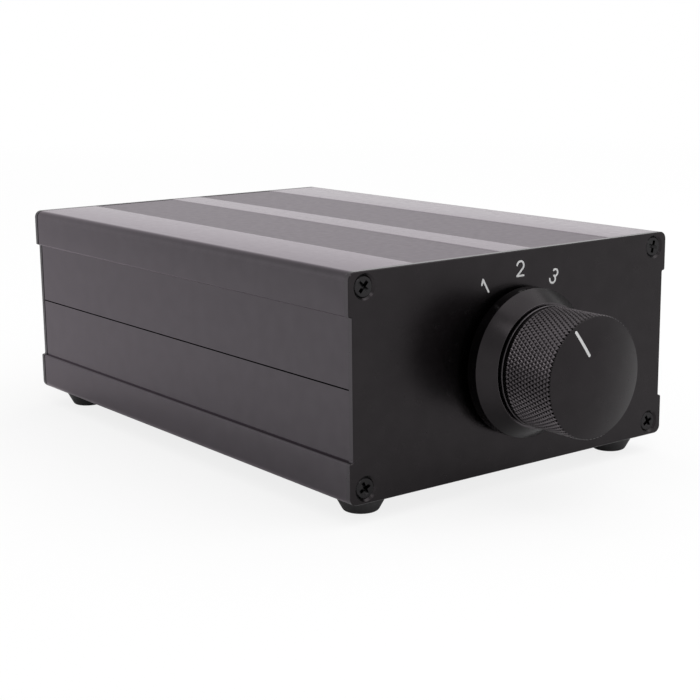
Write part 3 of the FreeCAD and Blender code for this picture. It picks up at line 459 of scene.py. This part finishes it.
# All other finishes, likewise
PLAIN_FINISHES = {
    "legend_ink": ((0.48, 0.48, 0.48), (0.53, 0.53, 0.53), 0.5),
    "pointer_paint": ((0.45, 0.45, 0.45), (0.5, 0.5, 0.5), 0.4),
    "foot_rubber": ((0.012, 0.011, 0.012), (0.018, 0.017, 0.018), 0.55),
    "switch_plastic": ((0.02, 0.02, 0.022), (0.03, 0.03, 0.032), 0.4),
    "rotor_plastic": ((0.6, 0.58, 0.52), (0.66, 0.64, 0.58), 0.45),
    "collar_white": ((0.75, 0.75, 0.73), (0.8, 0.8, 0.78), 0.35),
    "collar_red": ((0.5, 0.02, 0.015), (0.58, 0.03, 0.02), 0.35),
    "insulator_plastic": ((0.7, 0.69, 0.66), (0.76, 0.75, 0.72), 0.4),
    "washer_fibre": ((0.3, 0.06, 0.04), (0.36, 0.09, 0.06), 0.7),
    "lead_white": ((0.7, 0.7, 0.69), (0.76, 0.76, 0.75), 0.45),
    "lead_red": ((0.48, 0.02, 0.015), (0.54, 0.03, 0.02), 0.45),
}
METAL_FINISHES = {
    "black_steel": ((0.024, 0.023, 0.024), (0.03, 0.029, 0.03), 0.25),
    "turned_brass": ((0.78, 0.58, 0.26), (0.84, 0.65, 0.33), 0.25),
    "spring_steel": ((0.52, 0.53, 0.55), (0.6, 0.61, 0.63), 0.28),
    "zinc_casting": ((0.5, 0.51, 0.53), (0.57, 0.58, 0.6), 0.45),
    "plated_steel": ((0.66, 0.66, 0.65), (0.72, 0.72, 0.71), 0.25),
    "plated_brass": ((0.7, 0.68, 0.63), (0.76, 0.74, 0.7), 0.22),
    "contact_bronze": ((0.72, 0.45, 0.25), (0.78, 0.52, 0.32), 0.3),
    "gold_plate": ((0.93, 0.68, 0.29), (0.97, 0.74, 0.36), 0.16),
    "tinned_copper": ((0.72, 0.71, 0.69), (0.78, 0.77, 0.75), 0.3),
}
finishes = {
    "case_aluminium": case_raised,
    "panel_aluminium": panel_black,
    "knob_aluminium": knob_black,
}
for slot_name, (colour, other, roughness) in PLAIN_FINISHES.items():
    finishes[slot_name] = finish(slot_name, colour, other, roughness)
for slot_name, (colour, other, roughness) in METAL_FINISHES.items():
    finishes[slot_name] = finish(slot_name, colour, other, roughness, metallic=1.0)

# Every CAD node takes the finish of its slot
for entry in frame["record"]["subparts"]:
    node_mesh = frame["nodes"][entry["node"]].data
    node_mesh.materials.clear()
    node_mesh.materials.append(finishes[entry["material_slot"]])


# Case halves


def shell_section():
    """Section of the upper half about mid height, as (x, z, radius) corners."""
    step_z = HALF_H - FLANGE_H
    bands = []
    for edge_x, slope in ((STRIP_MID_W / 2, BAND_SLOPE), (HALF_W - STRIP_SIDE_W, -BAND_SLOPE)):
        ramp = [
            (edge_x, HALF_H, BAND_ROUND),
            (edge_x + slope / 2, HALF_H - BAND_DEPTH / 2, 0),
            (edge_x + slope, BAND_Z, BAND_ROUND),
        ]
        bands += ramp if slope > 0 else ramp[::-1]
    bands = [(-x, z, radius) for x, z, radius in reversed(bands)] + bands
    tongue_x = INNER_X + TONGUE_T
    groove_x = -tongue_x - TONGUE_GAP
    groove_z = TONGUE_H + TONGUE_GAP
    corners = [
        (-SIDE_X + SEAM_DEPTH, 0, 0),
        (-SIDE_X, SEAM_HALF_W, 0),
        (-SIDE_X, step_z, 0),
        (-HALF_W, step_z, STEP_R),
        (-HALF_W, HALF_H, CORNER_R),
    ]
    corners += bands
    corners += [
        (HALF_W, HALF_H, CORNER_R),
        (HALF_W, step_z, STEP_R),
        (SIDE_X, step_z, 0),
        (SIDE_X, SEAM_HALF_W, 0),
        (SIDE_X - SEAM_DEPTH, 0, 0),
        (tongue_x, 0, 0),
        (tongue_x, -TONGUE_H, 0),
        (INNER_X, -TONGUE_H, 0),
        (INNER_X, HALF_H - WALL_T, 0),
        (-INNER_X, HALF_H - WALL_T, 0),
        (-INNER_X, groove_z, 0),
        (groove_x, groove_z, 0),
        (groove_x, 0, 0),
    ]
    return corners


def channel_section(side):
    """C-shaped screw channel in an upper corner, with its slit towards the inside."""
    middle = Vector((side * (HALF_W - CHANNEL_INSET_X), HALF_H - CHANNEL_INSET_Z))
    towards = math.atan2(-1, -side)
    outer_half = math.asin(CHANNEL_SLIT / 2 / CHANNEL_R)
    inner_half = math.asin(CHANNEL_SLIT / 2 / CHANNEL_BORE_R)
    points = []
    for radius, half, way in ((CHANNEL_R, outer_half, 1), (CHANNEL_BORE_R, inner_half, -1)):
        sweep = 2 * (math.pi - half)
        steps = range(CHANNEL_STEPS + 1)[::way]
        angles = [towards + half + sweep * s / CHANNEL_STEPS for s in steps]
        points += [middle + radius * Vector((math.cos(a), math.sin(a))) for a in angles]
    return points


def rebated(outline):
    """The shell's section with its outer surface cut back, as it stands before the rear panel."""
    # Points of the outer surface lie beyond these
    side = SIDE_X - SEAM_DEPTH / 2
    roof = BAND_Z - LEEWAY
    pairs = zip(outline, inset(outline, REAR_GAP))
    return [cut if abs(p.x) > side or p.y > roof else p for p, cut in pairs]


def case_half(name, angle):
    """Half of the case, drawn as the upper one and turned, with its sunk bands in their finish."""
    bm = bmesh.new()
    shell = rounded_outline(shell_section())
    add_bar(bm, shell, SHELL_Y0, SHELL_Y1, JOINT_EDGE, rebated(shell))
    for side in (-1, 1):
        add_bar(bm, channel_section(side), SHELL_Y0, SHELL_Y1)
        x0 = side * (INNER_X - RAIL_DEPTH)
        x1 = side * (INNER_X + TONGUE_T / 2)
        for z in (RAIL_Z, RAIL_Z + RAIL_T + RAIL_SLOT):
            rail = [(x0, z), (x1, z), (x1, z + RAIL_T), (x0, z + RAIL_T)]
            add_bar(bm, [Vector(p) for p in rail], SHELL_Y0, SHELL_Y1)
    # Faces that lie lower than half the bands' depth are those of the bands
    low = BAND_Z - LEEWAY
    high = HALF_H - BAND_DEPTH / 2
    for face in bm.faces:
        middle = face.calc_center_median()
        if low < middle.z < high and abs(middle.x) < HALF_W - STRIP_SIDE_W:
            face.material_index = SUNK_FINISH
    bmesh.ops.translate(bm, vec=(0, 0, AXIS_Z), verts=bm.verts)
    turned_round(bm, angle)
    make_piece(name + "_skin", bm, "case", [name], [case_raised, case_sunk])


case_half("upper_shell", 0)
case_half("lower_shell", 180)


# Knob


def knob_body():
    """Skirt, cone, groove, lip and neck, with the nut recess behind.

    The profile's corners are the distance forwards, the radius and the rounding.
    """
    groove_r = GRIP_R - GROOVE_DEPTH
    lip_r = GRIP_R + LIP_PROUD
    neck_r = GRIP_R - NECK_DEPTH
    corners = [
        (RECESS_DEPTH, 0, 0),
        (RECESS_DEPTH, RECESS_R, 0),
        (0, RECESS_R, 0),
        (0, SKIRT_R - SKIRT_CHAMFER, 0),
        (SKIRT_CHAMFER, SKIRT_R, 0),
        (SKIRT_H, SKIRT_R, SKIRT_ROUND),
        (CONE_TOP, GRIP_R + CONE_TOP_PROUD, CONE_ROUND),
        (CONE_TOP, groove_r, 0),
        (LIP_START, groove_r, 0),
        (LIP_START, lip_r, LIP_ROUND),
        (NECK_START, lip_r, LIP_ROUND),
        (NECK_START, neck_r, 0),
        (GRIP_START, neck_r, 0),
        (GRIP_START, 0, 0),
    ]
    profile = [(KNOB_BACK_Y - p.x, p.y) for p in rounded_outline(corners)]
    bm = bmesh.new()
    add_turned(bm, profile)
    # The groove and the lip have their own, lighter finish as a painted highlight, from near the end
    # of the cone's rounded edge
    cone_edge = CONE_TOP - CONE_ROUND / 4
    for face in bm.faces:
        forwards = KNOB_BACK_Y - face.calc_center_median().y
        if cone_edge < forwards < NECK_START:
            face.material_index = LIP_FINISH
    return bm


def knurl():
    """Diamond knurl: nested rings in each diamond between two sets of crossed grooves."""
    row_len = (GRIP_LEN + RIM_CHAMFER) / KNURL_HALF_ROWS
    half_turn = math.pi / KNURL_COUNT
    bm = bmesh.new()
    known = {}

    def vertex(column, row, depth):
        """Vertex at a place counted in half diamonds round and along the grip."""
        row = min(max(row, 0), KNURL_HALF_ROWS)
        place = (column % (2 * KNURL_COUNT), row, depth / MM)
        key = tuple(round(number, KNURL_DIGITS) for number in place)
        if key not in known:
            along = row * row_len
            # Past the grip's length the rim's chamfer cuts off the crests
            r = GRIP_R - max(depth, along - GRIP_LEN)
            a = column * half_turn
            y = KNOB_BACK_Y - GRIP_START - along
            known[key] = bm.verts.new((r * math.sin(a), y, AXIS_Z + r * math.cos(a)))
        return known[key]

    def ring(column, row, share, depth):
        """Diamond of four vertices round a place."""
        around = ((1, 0), (0, 1), (-1, 0), (0, -1))
        return [vertex(column + c * share, row + r * share, depth) for c, r in around]

    for row in range(KNURL_HALF_ROWS + 1):
        for k in range(KNURL_COUNT):
            rings = [ring(2 * k + row % 2, row, share, depth) for share, depth in KNURL_RINGS]
            loops = [rings[-1]]
            for low, high in zip(rings, rings[1:]):
                loops += [(low[i - 1], low[i], high[i], high[i - 1]) for i in range(4)]
            for loop in loops:
                distinct = list(dict.fromkeys(loop))
                if len(distinct) > 2:
                    bm.faces.new(distinct)
    bmesh.ops.edgeloop_fill(bm, edges=[edge for edge in bm.edges if edge.is_boundary])
    # The last faces before the rim have the plain finish
    rim_y = KNOB_BACK_Y - (GRIP_START + GRIP_LEN - RIM_CHAMFER)
    for face in bm.faces:
        if face.calc_center_median().y > rim_y:
            face.material_index = KNURL_FINISH
    return bm


def knob_tip():
    """Crowned end of the knob with the pointer's slot."""
    rim_r = GRIP_R - RIM_CHAMFER
    sphere_r = (rim_r**2 + DOME_RISE**2) / (2 * DOME_RISE)
    tip = FACE_EDGE + DOME_RISE
    base = FACE_EDGE - TIP_DEPTH
    profile = [(-base, 0), (-base, rim_r - KNURL_DEPTH), (-FACE_EDGE + RIM_ROUND, rim_r)]
    start_r = rim_r - RIM_ROUND
    for k in range(DOME_RINGS + 1):
        radius = start_r * (1 - k / DOME_RINGS)
        fall = sphere_r - math.sqrt(sphere_r**2 - radius**2)
        profile.append((-tip + fall, radius))
    solid = bmesh.new()
    add_turned(solid, [(KNOB_BACK_Y + y, r) for y, r in profile])
    cutter = bmesh.new()
    half = POINTER_W / 2
    corners = [(-half, POINTER_FROM), (half, POINTER_FROM), (half, POINTER_TO), (-half, POINTER_TO)]
    outline = rounded_outline([(x, AXIS_Z + z, POINTER_CORNER_R) for x, z in corners])
    fall = sphere_r - math.sqrt(sphere_r**2 - POINTER_TO**2)
    tip_y = KNOB_BACK_Y - tip
    add_bar(cutter, outline, tip_y - CUTTER_OVER, tip_y + fall + POINTER_DEPTH)
    return carved(solid, cutter)


knob = joined([knob_body(), knurl(), knob_tip()])
turned_round(knob, POINTER_TURN)
knob_looks = [knob_black, knurl_sheen_black, lip_highlight_black]
make_piece("knob_skin", knob, "selector", ["knob"], knob_looks)


# Stage, light and camera


def floor_white():
    """White where it is seen, with the object's shadow near the object."""
    made = bpy.data.materials.new("floor_white")
    made.use_nodes = True
    tree = made.node_tree
    tree.nodes.remove(tree.nodes["Principled BSDF"])
    matt = add_node(tree, "ShaderNodeBsdfDiffuse", {"Color": FLOOR_COLOUR})
    plain = add_node(tree, "ShaderNodeEmission", {"Strength": WHITE_LEVEL})
    place = add_node(tree, "ShaderNodeTexCoord").outputs["Object"]
    away = add_node(tree, "ShaderNodeVectorMath", {0: place}, operation="LENGTH").outputs["Value"]
    rays = add_node(tree, "ShaderNodeLightPath").outputs
    mirrored = calculated(tree, "MAXIMUM", rays["Is Glossy Ray"], rays["Is Transmission Ray"])
    shares = []
    for seen, shadow in ((rays["Is Camera Ray"], SHADOW_SEEN), (mirrored, SHADOW_MIRRORED)):
        limits = {"From Min": SHADOW_NEAR, "From Max": SHADOW_FAR, "To Min": 1 - shadow}
        share = add_node(tree, "ShaderNodeMapRange", {"Value": away, **limits}).outputs[0]
        shares.append(calculated(tree, "MULTIPLY", seen, share))
    shaders = {0: calculated(tree, "ADD", *shares), 1: matt.outputs[0], 2: plain.outputs[0]}
    mix = add_node(tree, "ShaderNodeMixShader", shaders)
    tree.links.new(mix.outputs[0], tree.nodes["Material Output"].inputs["Surface"])
    return made


def stage():
    """Wide flat floor under the object."""
    bm = bmesh.new()
    bmesh.ops.create_grid(bm, x_segments=1, y_segments=1, size=FLOOR_SPAN / 2)
    mesh = bpy.data.meshes.new("floor")
    bm.to_mesh(mesh)
    bm.free()
    mesh.materials.append(floor_white())
    floor = bpy.data.objects.new("floor", mesh)
    bpy.context.scene.collection.objects.link(floor)


def room():
    """White where the camera sees it, and else white near the floor and darker above."""
    world = bpy.data.worlds.new("room")
    bpy.context.scene.world = world
    world.use_nodes = True
    tree = world.node_tree
    direction = add_node(tree, "ShaderNodeTexCoord").outputs["Generated"]
    height = add_node(tree, "ShaderNodeSeparateXYZ", {0: direction}).outputs["Z"]
    limits = {"From Min": WALL_LOW, "From Max": WALL_HIGH}
    levels = {"To Min": WHITE_LEVEL, "To Max": ROOM_LEVEL}
    wall = add_node(tree, "ShaderNodeMapRange", {"Value": height, **limits, **levels}).outputs[0]
    seen = add_node(tree, "ShaderNodeLightPath").outputs["Is Camera Ray"]
    background = tree.nodes["Background"]
    background.inputs["Color"].default_value = (1, 1, 1, 1)
    tree.links.new(calculated(tree, "MAXIMUM", wall, seen), background.inputs["Strength"])


def soft_lamp(name, place, size, power):
    """Square lamp that faces the object's middle."""
    data = bpy.data.lights.new(name, "AREA")
    data.shape = "SQUARE"
    data.size = size
    data.energy = power
    lamp = bpy.data.objects.new(name, data)
    lamp.location = place
    towards = Vector((0, 0, AXIS_Z)) - Vector(place)
    lamp.rotation_euler = towards.to_track_quat("-Z", "Y").to_euler()
    lamp.visible_camera = False
    bpy.context.scene.collection.objects.link(lamp)


def photograph_camera():
    """Camera that sees the object as the photograph does."""
    yaw = math.radians(CAMERA_YAW)
    pitch = math.radians(CAMERA_PITCH)
    roll = math.radians(CAMERA_ROLL)
    heading = Vector((math.sin(yaw), math.cos(yaw), 0))
    ahead = heading * math.cos(pitch) - Vector((0, 0, math.sin(pitch)))
    level = Vector((math.cos(yaw), -math.sin(yaw), 0))
    upright = level.cross(ahead)
    right = level * math.cos(roll) + upright * math.sin(roll)
    up = upright * math.cos(roll) - level * math.sin(roll)
    data = bpy.data.cameras.new("camera")
    data.sensor_width = CAMERA_SENSOR
    data.lens = CAMERA_LENS
    data.clip_start = CAMERA_NEAR
    camera = bpy.data.objects.new("camera", data)
    turn = Matrix((right, up, -ahead)).transposed().to_4x4()
    camera.matrix_world = Matrix.Translation(CAMERA_PLACE) @ turn
    bpy.context.scene.collection.objects.link(camera)
    bpy.context.scene.camera = camera


stage()
room()
for lamp_name, (lamp_place, lamp_size, lamp_power) in LAMPS.items():
    soft_lamp(lamp_name, lamp_place, lamp_size, lamp_power)
photograph_camera()
bpy.context.scene.view_settings.view_transform = "Standard"
